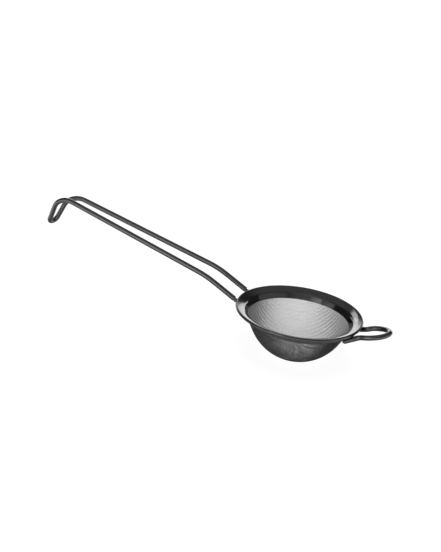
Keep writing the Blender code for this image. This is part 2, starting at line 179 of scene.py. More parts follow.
def makeToneGroup():
    # uneven plating: soft clouds, small mottling and a few handling smudges
    group, start, end = newGroup(
        "platingTone",
        [("Vector", "NodeSocketVector", None), ("Base", "NodeSocketColor", (0.2, 0.2, 0.2, 1)),
         ("Roughness", "NodeSocketFloat", 0.3), ("Unevenness", "NodeSocketFloat", 0.15),
         ("Smudge", "NodeSocketFloat", 0.08)],
        [("Color", "NodeSocketColor"), ("Roughness", "NodeSocketFloat")])
    link = group.links.new
    cloud = addNode(group, "ShaderNodeTexNoise", plating["clouds"])
    mottle = addNode(group, "ShaderNodeTexNoise", plating["mottling"])
    smudge = addNode(group, "ShaderNodeTexNoise", plating["smudges"])
    for texture in (cloud, mottle, smudge):
        link(start.outputs["Vector"], texture.inputs["Vector"])
    both = addNode(group, "ShaderNodeMix", {"Factor": plating["mottlingShare"]}, data_type="FLOAT")
    link(cloud.outputs["Fac"], both.inputs["A"])
    link(mottle.outputs["Fac"], both.inputs["B"])
    centred = addNode(group, "ShaderNodeMath", {1: 0.5}, operation="SUBTRACT")
    link(both.outputs["Result"], centred.inputs[0])
    scaled = addNode(group, "ShaderNodeMath", {1: plating["contrast"]}, operation="MULTIPLY")
    link(centred.outputs[0], scaled.inputs[0])
    swing = addNode(group, "ShaderNodeMath", {2: 1.0}, operation="MULTIPLY_ADD")
    link(scaled.outputs[0], swing.inputs[0])
    link(start.outputs["Unevenness"], swing.inputs[1])
    tint = addNode(group, "ShaderNodeVectorMath", operation="SCALE")
    link(start.outputs["Base"], tint.inputs[0])
    link(swing.outputs[0], tint.inputs["Scale"])
    link(tint.outputs["Vector"], end.inputs["Color"])
    patch = addNode(group, "ShaderNodeMapRange", plating["smudgeRange"])
    link(smudge.outputs["Fac"], patch.inputs["Value"])
    haze = addNode(group, "ShaderNodeMath", operation="MULTIPLY_ADD")
    link(patch.outputs["Result"], haze.inputs[0])
    link(start.outputs["Smudge"], haze.inputs[1])
    link(start.outputs["Roughness"], haze.inputs[2])
    link(haze.outputs[0], end.inputs["Roughness"])
    return group


def makeLineGroup():
    # fine parallel polishing lines in a stretched space: x runs along the lines, y and z across them
    group, start, end = newGroup(
        "polishLines",
        [("Vector", "NodeSocketVector", None), ("Density", "NodeSocketFloat", 4000.0)],
        [("Lines", "NodeSocketFloat"), ("Scratches", "NodeSocketFloat")])
    link = group.links.new
    stretch = addNode(group, "ShaderNodeVectorMath", {1: polish["stretch"]}, operation="MULTIPLY")
    link(start.outputs["Vector"], stretch.inputs[0])
    fine = addNode(group, "ShaderNodeTexNoise", polish["lines"])
    link(stretch.outputs["Vector"], fine.inputs["Vector"])
    link(start.outputs["Density"], fine.inputs["Scale"])
    link(fine.outputs["Fac"], end.inputs["Lines"])
    rare = addNode(group, "ShaderNodeMath", {1: polish["scratchDensity"]}, operation="MULTIPLY")
    link(start.outputs["Density"], rare.inputs[0])
    coarse = addNode(group, "ShaderNodeTexNoise", polish["scratches"])
    link(stretch.outputs["Vector"], coarse.inputs["Vector"])
    link(rare.outputs[0], coarse.inputs["Scale"])
    pick = addNode(group, "ShaderNodeMapRange", polish["scratchRange"])
    link(coarse.outputs["Fac"], pick.inputs["Value"])
    link(pick.outputs["Result"], end.inputs["Scratches"])
    return group


toneGroup = makeToneGroup()
lineGroup = makeLineGroup()


def platedMetal(name, look, lineSpace):
    # one plated finish; lineSpace says how its polishing lines run: "round", "along" or None
    material = bpy.data.materials.new(name)
    material.use_nodes = True
    tree = material.node_tree
    link = tree.links.new
    shader = tree.nodes["Principled BSDF"]
    shader.inputs["Metallic"].default_value = 1.0
    coords = addNode(tree, "ShaderNodeTexCoord")
    tone = addNode(tree, "ShaderNodeGroup", node_tree=toneGroup)
    tone.inputs["Base"].default_value = (*look["colour"], 1)
    tone.inputs["Roughness"].default_value = look["roughness"]
    tone.inputs["Unevenness"].default_value = look["unevenness"]
    tone.inputs["Smudge"].default_value = look["smudge"]
    link(coords.outputs["Object"], tone.inputs["Vector"])
    link(tone.outputs["Color"], shader.inputs["Base Color"])
    # painted light: the base colour is mixed towards a far lighter one where the metal faces the cup's mouth
    if "paintedLightColour" in look:
        paintedLightMix = addNode(tree, "ShaderNodeMix", {"A": (*look["colour"], 1), "B": (*look["paintedLightColour"], 1)},
                         data_type="RGBA")
        link(mouthFacing(tree, coords, look), paintedLightMix.inputs["Factor"])
        link(paintedLightMix.outputs["Result"], tone.inputs["Base"])
    if lineSpace is None:
        grain = addNode(tree, "ShaderNodeTexNoise", {"Scale": look["grainScale"], "Detail": 3.0})
        link(coords.outputs["Object"], grain.inputs["Vector"])
        height = grain.outputs["Fac"]
        link(tone.outputs["Roughness"], shader.inputs["Roughness"])
    else:
        lines = addNode(tree, "ShaderNodeGroup", node_tree=lineGroup)
        lines.inputs["Density"].default_value = look["lineDensity"]
        if lineSpace == "round":
            link(turnedSpace(tree, coords), lines.inputs["Vector"])
        else:
            link(wireSpace(tree, coords, look), lines.inputs["Vector"])
        height = lines.outputs["Lines"]
        rough = addNode(tree, "ShaderNodeMath", {1: look["lineRoughness"]}, operation="MULTIPLY_ADD")
        link(lines.outputs["Lines"], rough.inputs[0])
        link(tone.outputs["Roughness"], rough.inputs[2])
        worn = addNode(tree, "ShaderNodeMath", {1: look["scratch"]}, operation="MULTIPLY_ADD")
        link(lines.outputs["Scratches"], worn.inputs[0])
        link(rough.outputs[0], worn.inputs[2])
        link(worn.outputs[0], shader.inputs["Roughness"])
    bump = addNode(tree, "ShaderNodeBump", {"Strength": look["bump"], "Distance": look["bumpHeight"]})
    link(height, bump.inputs["Height"])
    link(bump.outputs["Normal"], shader.inputs["Normal"])
    return material


def mouthFacing(tree, coords, look):
    # 1 where the metal faces the middle of the cup's mouth, 0 where it faces away: where the painted light
    # on the cloth goes
    link = tree.links.new
    toMouth = addNode(tree, "ShaderNodeVectorMath", {0: (0, 0, cup["top"])}, operation="SUBTRACT")
    link(coords.outputs["Object"], toMouth.inputs[1])
    way = addNode(tree, "ShaderNodeVectorMath", operation="NORMALIZE")
    link(toMouth.outputs[0], way.inputs[0])
    surface = addNode(tree, "ShaderNodeNewGeometry")
    facing = addNode(tree, "ShaderNodeVectorMath", operation="DOT_PRODUCT")
    link(way.outputs[0], facing.inputs[0])
    link(surface.outputs["Normal"], facing.inputs[1])
    share = addNode(tree, "ShaderNodeMapRange", look["paintedLightRange"])
    link(facing.outputs["Value"], share.inputs["Value"])
    return share.outputs["Result"]


def turnedSpace(tree, coords):
    # lines that run round the cup's axis: (angle x rim radius, radius, height)
    link = tree.links.new
    split = addNode(tree, "ShaderNodeSeparateXYZ")
    link(coords.outputs["Object"], split.inputs[0])
    angle = addNode(tree, "ShaderNodeMath", operation="ARCTAN2")
    link(split.outputs["Y"], angle.inputs[0])
    link(split.outputs["X"], angle.inputs[1])
    arc = addNode(tree, "ShaderNodeMath", {1: cup["radius"]}, operation="MULTIPLY")
    link(angle.outputs[0], arc.inputs[0])
    flat = addNode(tree, "ShaderNodeCombineXYZ")
    link(split.outputs["X"], flat.inputs["X"])
    link(split.outputs["Y"], flat.inputs["Y"])
    radius = addNode(tree, "ShaderNodeVectorMath", operation="LENGTH")
    link(flat.outputs[0], radius.inputs[0])
    joined = addNode(tree, "ShaderNodeCombineXYZ")
    link(arc.outputs[0], joined.inputs["X"])
    link(radius.outputs["Value"], joined.inputs["Y"])
    link(split.outputs["Z"], joined.inputs["Z"])
    return joined.outputs[0]


def wireSpace(tree, coords, look):
    # lines that run along a wire, from its own map: the map's U follows the wire and V goes round it
    link = tree.links.new
    split = addNode(tree, "ShaderNodeSeparateXYZ")
    link(coords.outputs["UV"], split.inputs[0])
    along = addNode(tree, "ShaderNodeMath", {1: look["wireLength"]}, operation="MULTIPLY")
    link(split.outputs["X"], along.inputs[0])
    turn = addNode(tree, "ShaderNodeMath", {1: 2 * math.pi}, operation="MULTIPLY")
    link(split.outputs["Y"], turn.inputs[0])
    joined = addNode(tree, "ShaderNodeCombineXYZ")
    link(along.outputs[0], joined.inputs["X"])
    for operation, socket in (("COSINE", "Y"), ("SINE", "Z")):
        wave = addNode(tree, "ShaderNodeMath", operation=operation)
        link(turn.outputs[0], wave.inputs[0])
        reach = addNode(tree, "ShaderNodeMath", {1: look["wireRadius"]}, operation="MULTIPLY")
        link(wave.outputs[0], reach.inputs[0])
        link(reach.outputs[0], joined.inputs[socket])
    return joined.outputs[0]


# Rim: a pressed ring, drawn as a section and spun round the cup's axis
ring = {
    "lipTilt": math.radians(15.5),   # where the lip leaves the roll, before it curves down to the collar
    "lipReach": 0.0027,
    "lipRadius": 0.0120,
    "bendRadius": 0.0026,
    "edgeRadius": 0.0001,
    "turnSteps": 256,
    "rollSteps": 30,
    "lipSteps": 6,
    "topBendSteps": 12,
    "lowBendSteps": 8,
    "edgeSteps": 2,
    "look": {
        "colour": (0.17, 0.17, 0.175),
        "roughness": 0.09,
        "unevenness": 0.12,
        "smudge": 0.06,
        "lineDensity": 5200.0,
        "lineRoughness": 0.06,
        "scratch": 0.12,
        "bump": 0.15,
        "bumpHeight": 0.00002,
    },
}


def turned(section, steps):
    # one point is drawn out along the section, and the line is spun into a closed ring
    deselect()
    bpy.ops.mesh.primitive_plane_add(size=startSize, location=(section[0].x, 0, section[0].y))
    piece = bpy.context.object
    bpy.ops.object.mode_set(mode="EDIT")
    bpy.ops.mesh.select_all(action="SELECT")
    bpy.ops.mesh.merge(type="CENTER")
    for before, after in zip(section, section[1:] + section[:1]):
        step = after - before
        bpy.ops.mesh.extrude_region_move(TRANSFORM_OT_translate={"value": (step.x, 0, step.y)})
    bpy.ops.mesh.select_all(action="SELECT")
    bpy.ops.mesh.spin(steps=steps, angle=2 * math.pi, center=(0, 0, 0), axis=(0, 0, 1))
    bpy.ops.mesh.select_all(action="SELECT")
    bpy.ops.mesh.remove_doubles(threshold=mergeDistance)
    bpy.ops.mesh.normals_make_consistent(inside=False)
    bpy.ops.object.mode_set(mode="OBJECT")
    bpy.ops.object.shade_smooth_by_angle(angle=sharpAngle)
    return piece


def rimSection():
    # the bent sheet as (radius, height): up the collar, over the lip and round the roll, then back below it
    sheet = cup["sheet"]
    outward = Vector((math.cos(ring["lipTilt"]), math.sin(ring["lipTilt"])))
    upward = Vector((-outward.y, outward.x))
    shoulder = rollCentre + upward * rollRadius - outward * ring["lipReach"]
    inner = (shoulder - bendPoint).normalized()
    innerUp = Vector((-inner.y, inner.x))
    wallOut = Vector((math.cos(cup["wallSlope"]), -math.sin(cup["wallSlope"])))
    corner = bendPoint + sheet * (wallOut - innerUp) / (1 - innerUp.dot(wallOut))
    under = shoulder - sheet * (upward + innerUp) / (1 + upward.dot(innerUp))
    insideEdge = Vector((wallRadius(collarBottom, 0), collarBottom))
    outsideEdge = Vector((wallRadius(collarBottom, sheet), collarBottom))
    tuck = math.asin((rollRadius - sheet) / rollRadius)
    roll = []
    for step in range(ring["rollSteps"] + 1):
        turn = math.pi / 2 - (1.5 * math.pi + tuck) * step / ring["rollSteps"]
        roll.append(rollCentre + rollRadius * (outward * math.cos(turn) + upward * math.sin(turn)))
    lipRadius, bendRadius, edgeRadius = ring["lipRadius"], ring["bendRadius"], ring["edgeRadius"]
    topBend = roundedCorner(insideEdge, bendPoint, shoulder, bendRadius + sheet, ring["topBendSteps"])
    topLip = roundedCorner(bendPoint, shoulder, roll[0], lipRadius, ring["lipSteps"])
    lowLip = roundedCorner(roll[-1], under, corner, lipRadius - sheet, ring["lipSteps"])
    lowBend = roundedCorner(under, corner, outsideEdge, bendRadius, ring["lowBendSteps"])
    rise = Vector((0, 2 * sheet))
    outerEdge = roundedCorner(outsideEdge + rise, outsideEdge, insideEdge, edgeRadius, ring["edgeSteps"])
    innerEdge = roundedCorner(outsideEdge, insideEdge, insideEdge + rise, edgeRadius, ring["edgeSteps"])
    return innerEdge + topBend + topLip + roll + lowLip + lowBend + outerEdge


rimMetal = platedMetal("gunmetalRim", ring["look"], "round")
rim = turned(rimSection(), ring["turnSteps"])
finishPiece(rim, "pressedRim", rimMetal, ["rim_ring"])
print("rim ring:", len(rim.data.polygons), "faces")


# Band: squeezed round the cloth under the lip
band = {
    "height": 0.0022,
    "thickness": 0.0004,
    "overhang": 0.0004,              # below the collar's edge
    "offset": 0.0013,                # of its inner face, outside the collar's inner face
    "edgeRadius": 0.00012,
    "edgeSteps": 3,
    "turnSteps": 192,
    "look": {
        # painted light: lighter than the rim's plating, to lift the shade under the lip
        "colour": (0.28, 0.28, 0.285),
        "roughness": 0.28,
        "unevenness": 0.2,
        "smudge": 0.1,
        "lineDensity": 6000.0,
        "lineRoughness": 0.08,
        "scratch": 0.15,
        "bump": 0.25,
        "bumpHeight": 0.00002,
    },
}


def bandSection():
    bottom = collarBottom - band["overhang"]
    top = bottom + band["height"]
    outer = band["offset"] + band["thickness"]
    corners = [
        Vector((wallRadius(bottom, band["offset"]), bottom)),
        Vector((wallRadius(bottom, outer), bottom)),
        Vector((wallRadius(top, outer), top)),
        Vector((wallRadius(top, band["offset"]), top)),
    ]
    section = []
    for index, corner in enumerate(corners):
        after = corners[(index + 1) % len(corners)]
        section += roundedCorner(corners[index - 1], corner, after, band["edgeRadius"], band["edgeSteps"])
    return section


bandMetal = platedMetal("gunmetalBand", band["look"], "round")
clampBand = turned(bandSection(), band["turnSteps"])
finishPiece(clampBand, "clampBand", bandMetal, ["clamp_band"])
print("clamp band:", len(clampBand.data.polygons), "faces")


# Wires of the handle and the rest
wire = {
    "radius": 0.00165,
    "clearance": 0.0003,             # between the rest's legs and the rolled edge
    "spacing": 0.0006,               # of the points along the route
    "softening": 6,                  # rounds of smoothing that ease each bend in and out
    "endSteps": 16,
    "roundness": 8,
    "sharpAngle": math.radians(40),
    "look": {
        "colour": (0.17, 0.17, 0.175),
        "roughness": 0.17,
        "unevenness": 0.12,
        "smudge": 0.05,
        "lineDensity": 5200.0,
        "lineRoughness": 0.05,
        "scratch": 0.08,
        "bump": 0.1,
        "bumpHeight": 0.00002,
    },
}

handle = {
    "rootSpacing": 0.0180,           # between the middles of its two legs, at the rim
    "rootDrop": 0.0008,              # of the legs under the middle of the rolled edge
    "rootSlope": math.radians(24.6),
    "riseLength": 0.0255,            # from the rim to the first bend
    "bendSpacing": 0.0180,
    "bendRadius": 0.0600,
    "slope": math.radians(12),
    "runLength": 0.1121,             # from there to the hook's corner
    "hookSpacing": 0.0102,
    "hookRadius": 0.0112,
    "hookTurn": math.radians(76.5),
    "hookDrop": 0.0231,              # from the corner to the tip
    "tipSpacing": 0.0061,
    "hookSkew": 0.29,                # how far one leg stands ahead of the other, as a share of their spacing
    "legBow": 0.0010,                # how far the hook's legs bulge forward between bend and tip
    "legBowSkew": 1.3,               # above 1 the bulge is fullest past the middle, nearer the tip
    "bendSteps": 24,
    "hookSteps": 32,
}

rest = {
    "rootSpacing": 0.0180,
    "rootSlope": math.radians(25.5),
    "rootFlare": math.radians(16.5),    # how the legs draw together from the rim to the waist
    "waistSpacing": 0.0139,
    "waistReach": 0.0045,
    "waistRadius": 0.0120,
    "loopSpacing": 0.0170,
    "loopReach": 0.0072,
    "bendRadius": 0.0400,
    "slope": math.radians(15.7),
    "endReach": 0.0117,
    "bendSteps": 12,
}


def rootLine(spacing, slope, flare, drop):
    # where a wire crosses the circle of the rolled edge, and the way it runs there
    flat = Vector((math.cos(flare), -math.sin(flare), 0))
    direction = (flat * math.cos(slope) + Vector((0, 0, math.sin(slope)))).normalized()
    ahead = math.sqrt(rollCentre.x ** 2 - (spacing / 2) ** 2)
    return Vector((ahead, spacing / 2, rollCentre.y - drop)), direction


def cutEnd(node, crossing, direction, side):
    # the cut end stands where the solid's does
    low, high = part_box(node)
    reach = (low.x if side > 0 else -high.x) + wire["radius"] * direction.z
    return crossing + direction * (reach - crossing.x) / direction.x


def roundEnd(end, direction, reach):
    # a leg turned in to the middle, as a quarter of an ellipse
    points = []
    for step in range(1, wire["endSteps"] + 1):
        turn = math.pi / 2 * step / wire["endSteps"]
        point = end + direction * reach * math.sin(turn)
        point.y = end.y * math.cos(turn)
        points.append(point)
    return points


def mirrored(points):
    return [Vector((point.x, -point.y, point.z)) for point in points]


def handleRoute():
    crossing, direction = rootLine(handle["rootSpacing"], handle["rootSlope"], 0, handle["rootDrop"])
    start = cutEnd("handle_wire", crossing, direction, 1)
    run = Vector((math.cos(handle["slope"]), 0, math.sin(handle["slope"])))
    dropAngle = handle["slope"] - handle["hookTurn"]
    down = Vector((math.cos(dropAngle), 0, math.sin(dropAngle)))
    bend = crossing + direction * handle["riseLength"]
    bend.y = handle["bendSpacing"] / 2
    corner = bend + run * handle["runLength"]
    corner.y = handle["hookSpacing"] / 2
    tipRadius = handle["tipSpacing"] / 2
    legLength = handle["hookDrop"] - tipRadius
    legEnd = corner + down * legLength
    legEnd.y = tipRadius
    arm = [start] + roundedCorner(start, bend, corner, handle["bendRadius"], handle["bendSteps"])
    hook = roundedCorner(bend, corner, legEnd, handle["hookRadius"], handle["hookSteps"]) + [legEnd]
    hook += roundEnd(legEnd, down, tipRadius)
    forward = Vector((-down.z, 0, down.x))
    for point in hook:
        share = min(max((point - corner).dot(down) / legLength, 0), 1)
        point += forward * handle["legBow"] * math.sin(math.pi * share ** handle["legBowSkew"])
    ahead = [point + run * handle["hookSkew"] * point.y for point in hook]
    behind = [point - run * handle["hookSkew"] * point.y for point in hook]
    return arm + ahead + mirrored(arm + behind)[-2::-1]


def restRoute():
    drop = (rollRadius + wire["radius"] + wire["clearance"]) / math.cos(rest["rootSlope"])
    crossing, direction = rootLine(rest["rootSpacing"], rest["rootSlope"], rest["rootFlare"], drop)
    start = cutEnd("rest_wire", crossing, direction, -1)
    climb = math.tan(rest["rootSlope"])
    waist = crossing + Vector((rest["waistReach"], 0, rest["waistReach"] * climb))
    waist.y = rest["waistSpacing"] / 2
    widening = rest["loopReach"] - rest["waistReach"]
    wide = waist + Vector((widening, 0, widening * (climb + math.tan(rest["slope"])) / 2))
    wide.y = rest["loopSpacing"] / 2
    run = Vector((math.cos(rest["slope"]), 0, math.sin(rest["slope"])))
    leg = [start, crossing]
    leg += roundedCorner(crossing, waist, wide, rest["waistRadius"], rest["bendSteps"])
    leg += roundedCorner(waist, wide, wide + run * rest["endReach"], rest["bendRadius"], rest["bendSteps"])
    leg += roundEnd(leg[-1], run, rest["endReach"])
    route = leg + mirrored(leg)[-2::-1]
    return [Vector((-point.x, -point.y, point.z)) for point in route]


def evenRoute(points, gap):
    # the same route with its points a steady step apart
    lengths = [0.0]
    for before, after in zip(points, points[1:]):
        lengths.append(lengths[-1] + (after - before).length)
    count = round(lengths[-1] / gap)
    even = []
    index = 0
    for step in range(count + 1):
        place = lengths[-1] * step / count
        while index < len(points) - 2 and lengths[index + 1] < place:
            index += 1
        stretch = lengths[index + 1] - lengths[index]
        even.append(points[index].lerp(points[index + 1], (place - lengths[index]) / stretch))
    return even


def softened(points, rounds):
    # a bent wire has no sudden change of curve, so the corners of the route are eased
    for _ in range(rounds):
        triples = zip(points, points[1:], points[2:])
        inner = [(before + 2 * point + after) / 4 for before, point, after in triples]
        points = [points[0]] + inner + [points[-1]]
    return points


def makeWire(name, route, nodes):
    # makes the piece and gives back its route, on which the welds are placed
    even = softened(evenRoute(route, wire["spacing"]), wire["softening"])
    look = dict(wire["look"], wireRadius=wire["radius"], wireLength=len(even) * wire["spacing"])
    piece = wireMesh([even], wire["radius"], wire["roundness"], wire["sharpAngle"])
    finishPiece(piece, name, platedMetal(name + "Metal", look, "along"), nodes)
    print(name + ":", len(piece.data.polygons), "faces")
    return even


handlePath = makeWire("handleWire", handleRoute(), ["handle_wire"])
restPath = makeWire("restWire", restRoute(), ["rest_wire"])


# Welds: each is a melted bead where its solid stands, grown together with one on the wire's cut end
weld = {
    "beadSize": (0.0017, 0.0015, 0.0013),
    "endSize": (0.0009, 0.0013, 0.0012),
    "ball": {"segments": 24, "ring_count": 16, "radius": 1},
    "voxel": 0.00022,
    "roughening": {"offset": 0.00008, "uniform": 0.5, "normal": 0.8},
    "smoothing": {"factor": 0.5, "repeat": 3},
    "look": {
        "colour": (0.20, 0.20, 0.205),
        "roughness": 0.38,
        "unevenness": 0.3,
        "smudge": 0.1,
        "grainScale": 2600.0,
        "bump": 0.5,
        "bumpHeight": 0.00006,
    },
}
weldMetal = platedMetal("weldMetal", weld["look"], None)


def makeWeld(name, node, end, seed):
    low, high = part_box(node)
    deselect()
    bpy.ops.mesh.primitive_uv_sphere_add(location=(low + high) / 2, **weld["ball"])
    bead = bpy.context.object
    bead.scale = weld["beadSize"]
    bpy.ops.mesh.primitive_uv_sphere_add(location=end, **weld["ball"])
    foot = bpy.context.object
    foot.scale = weld["endSize"]
    bead.select_set(True)
    bpy.context.view_layer.objects.active = bead
    bpy.ops.object.join()
    bpy.ops.object.transform_apply(location=True, rotation=True, scale=True)
    remesh = bead.modifiers.new("oneBead", "REMESH")
    remesh.mode = "VOXEL"
    remesh.voxel_size = weld["voxel"]
    bpy.ops.object.modifier_apply(modifier=remesh.name)
    bpy.ops.object.mode_set(mode="EDIT")
    bpy.ops.mesh.select_all(action="SELECT")
    bpy.ops.transform.vertex_random(seed=seed, **weld["roughening"])
    bpy.ops.mesh.vertices_smooth(**weld["smoothing"])
    bpy.ops.object.mode_set(mode="OBJECT")
    bpy.ops.object.shade_smooth()
    finishPiece(bead, name, weldMetal, [node])


makeWeld("handleWeldLeft", "handle_weld_left", handlePath[0], 1)
makeWeld("handleWeldRight", "handle_weld_right", handlePath[-1], 2)
makeWeld("restWeldLeft", "rest_weld_left", restPath[0], 3)
makeWeld("restWeldRight", "rest_weld_right", restPath[-1], 4)
print("welds: 4 beads")


# Cup: square woven wire cloth, pressed into shape. Its wires keep their spacing and only turn where they
# cross, so the net starts from two middle wires and every next crossing lies one pitch from two others.
cloth = {
    "pitch": 0.00066,
    "wireRadius": 0.000112,
    "turn": math.radians(22.5),      # of the warp wires from the handle's direction
    "dent": 4,                       # warp wires that the loom's reed keeps together
    "dentDraw": 0.045,               # how far they are drawn together at the bottom, as a share of the pitch
    "dentOpening": 0.1,              # and how much more towards the rim
    "dentOpeningReach": 40,          # crossings from the middle to where that is full
    "jitter": 0.01,                  # chance place of each wire, as a share of the pitch
    "jitterSeed": 11,
    "netMargin": 2.5,                # pitches that the net goes on past the cloth's edge
    "solveRounds": 12,
    "solveMiss": 1e-14,
    "pointsPerCrossing": 3,
    "shortestWire": 2,               # in crossings
    "roundness": 1,
    "sharpAngle": math.radians(70),
    "pieces": "ABCD",                # the wires of each direction are shared out over these
    "look": {
        # one plating as a shaded and a lit copy: painted shade on the outward faces, painted light on the
        # inward ones
        "colour": (0.07, 0.07, 0.072),
        "paintedLightColour": (0.92, 0.92, 0.92),      # painted light: almost white where it faces the cup's mouth, for the lit inside of the cup
        "paintedLightRange": {"From Min": -0.05, "From Max": 0.2},
        "roughness": 0.34,
        "unevenness": 0.2,
        "smudge": 0.1,
        "grainScale": 9000.0,
        "bump": 0.2,
        "bumpHeight": 0.00001,
    },
}


def clothProfile():
    # the middle of the cloth as arc lengths: flat foot, round dome, straight cone
    slope = cup["wallSlope"]
    foot = cup["footRadius"]
    base = 2 * cloth["wireRadius"]
    reach = wallRadius(base, cup["clothOffset"]) * math.cos(slope)
    root = math.sqrt(reach ** 2 - math.cos(slope) ** 2 * (reach ** 2 + (math.sin(slope) * foot) ** 2))
    dome = (reach + root) / math.cos(slope) ** 2
    first = math.asin(foot / dome)
    last = math.pi / 2 - slope
    centre = base + dome * math.cos(first)
    domeLength = dome * (last - first)
    coneStart = Vector((dome * math.sin(last), centre - dome * math.cos(last)))
    top = bendPoint.y - cup["clothTop"] - cup["sheet"]
    coneLength = (top - coneStart.y) / math.cos(slope)

    def at(length):
        # radius, height and the steepness of the cloth at an arc length from the middle
        if length < foot:
            return length, base, 0.0
        if length < foot + domeLength:
            angle = first + (length - foot) / dome
            return dome * math.sin(angle), centre - dome * math.cos(angle), angle
        beyond = length - foot - domeLength
        return coneStart.x + beyond * math.sin(slope), coneStart.y + beyond * math.cos(slope), last

    return at, foot + domeLength + coneLength


profileAt, clothLength = clothProfile()


def onCloth(length, angle):
    radius, height, _ = profileAt(length)
    return Vector((radius * math.cos(angle), radius * math.sin(angle), height))


def nextCrossing(first, second, opposite, pitch):
    # the place on the cloth one pitch from both neighbours, by Newton's method on (length, angle)
    length = first[0] + second[0] - opposite[0]
    guess = onCloth(*first) + onCloth(*second) - onCloth(*opposite)
    angle = math.atan2(guess.y, guess.x)
    targets = [onCloth(*first), onCloth(*second)]
    for _ in range(cloth["solveRounds"]):
        radius, height, steep = profileAt(length)
        outward = Vector((math.cos(angle), math.sin(angle), 0))
        place = outward * radius + Vector((0, 0, height))
        alongWay = outward * math.cos(steep) + Vector((0, 0, math.sin(steep)))
        roundWay = Vector((-radius * math.sin(angle), radius * math.cos(angle), 0))
        rows = []
        for target in targets:
            apart = place - target
            miss = apart.length_squared - pitch ** 2
            rows.append((2 * apart.dot(alongWay), 2 * apart.dot(roundWay), miss))
        (a, b, e), (c, d, f) = rows
        determinant = a * d - b * c
        length -= (d * e - b * f) / determinant
        angle -= (a * f - c * e) / determinant
        if abs(e) + abs(f) < cloth["solveMiss"]:
            break
    return length, angle


def clothNet():
    # crossings of one quarter as (arc length, angle), out to just past the cloth's edge
    pitch = cloth["pitch"]
    limit = clothLength + cloth["netMargin"] * pitch
    count = int(limit / pitch) + 1
    net = {(0, 0): (0.0, 0.0)}
    for index in range(1, count + 1):
        net[index, 0] = (index * pitch, 0.0)
        net[0, index] = (index * pitch, math.pi / 2)
    for row in range(1, count + 1):
        for column in range(1, count + 1):
            needed = [(row - 1, column), (row, column - 1), (row - 1, column - 1)]
            if all(key in net and net[key][0] < limit for key in needed):
                if (row, column) == (1, 1):
                    net[row, column] = (pitch * math.sqrt(2), math.pi / 4)
                else:
                    net[row, column] = nextCrossing(*(net[key] for key in needed), pitch)
    return net


net = clothNet()
print("cloth: net of", len(net), "crossings in a quarter")


def crossingAt(row, column):
    # place and outward direction of a crossing in any quarter
    key = (abs(row), abs(column))
    if key not in net:
        return None
    length, angle = net[key]
    place = onCloth(length, angle)
    steep = profileAt(length)[2]
    facing = Vector((math.sin(steep) * math.cos(angle), math.sin(steep) * math.sin(angle), -math.cos(steep)))
    flip = Vector((1 if row >= 0 else -1, 1 if column >= 0 else -1, 1))
    return place * flip, facing * flip


def clothPoint(along, across):
    # place and outward direction between crossings, for any real position in the net
    row, column = math.floor(along), math.floor(across)
    corners = [crossingAt(row + i, column + j) for i, j in ((0, 0), (1, 0), (0, 1), (1, 1))]
    if None in corners:
        return None
    u, v = along - row, across - column
    shares = ((1 - u) * (1 - v), u * (1 - v), (1 - u) * v, u * v)
    place = sum((share * corner[0] for share, corner in zip(shares, corners)), Vector())
    facing = sum((share * corner[1] for share, corner in zip(shares, corners)), Vector())
    return place, facing.normalized()


netCount = max(row for row, column in net)
chance = random.Random(cloth["jitterSeed"])
unevenness = {}
for index in range(-netCount, netCount + 1):
    unevenness[index] = (chance.uniform(-1, 1) * cloth["jitter"], chance.uniform(-1, 1) * cloth["jitter"])


def wireShift(isWarp, index, place):
    # how far a wire stands off its place: by chance, and a warp wire by its dent, more so towards the rim
    if not isWarp:
        return unevenness[index][1]
    opening = min(abs(place) / cloth["dentOpeningReach"], 1) ** 2
    draw = cloth["dentDraw"] + cloth["dentOpening"] * opening
    inDent = (index % cloth["dent"]) - (cloth["dent"] - 1) / 2
    return unevenness[index][0] - inDent * draw


def wovenRoutes(isWarp):
    # the routes of all wires of one direction, each passing over and under the ones it crosses
    turnRound = Matrix.Rotation(cloth["turn"], 3, "Z")
    steps = cloth["pointsPerCrossing"]
    top = profileAt(clothLength)[1]
    routes = []
    for index in range(-netCount, netCount + 1):
        line = []
        lines = [line]
        for crossing in range(-netCount, netCount):
            before = wireShift(not isWarp, crossing, index)
            after = wireShift(not isWarp, crossing + 1, index)
            for step in range(steps):
                share = step / steps
                along = crossing + share
                across = index + wireShift(isWarp, index, along)
                along += before * (1 - share) + after * share
                found = clothPoint(along, across) if isWarp else clothPoint(across, along)
                if found is None or found[0].z > top:
                    if line:
                        line = []
                        lines.append(line)
                    continue
                side = 1 if isWarp else -1
                wave = side * math.cos(math.pi * (crossing + index + share))
                line.append(turnRound @ (found[0] + found[1] * wave * cloth["wireRadius"]))
        routes += [line for line in lines if len(line) > cloth["shortestWire"] * steps]
    return routes


def wovenPiece(name, routes, material):
    piece = wireMesh(routes, cloth["wireRadius"], cloth["roundness"], cloth["sharpAngle"])
    finishPiece(piece, name, material, ["mesh_cup"])
    print(name + ":", len(routes), "wires,", len(piece.data.polygons), "faces")


clothMetal = platedMetal("gunmetalCloth", cloth["look"], None)
for label, isWarp in (("warp", True), ("weft", False)):
    routes = wovenRoutes(isWarp)
    for part, letter in enumerate(cloth["pieces"]):
        start = len(routes) * part // len(cloth["pieces"])
        stop = len(routes) * (part + 1) // len(cloth["pieces"])
        wovenPiece(label + "Wires" + letter, routes[start:stop], clothMetal)


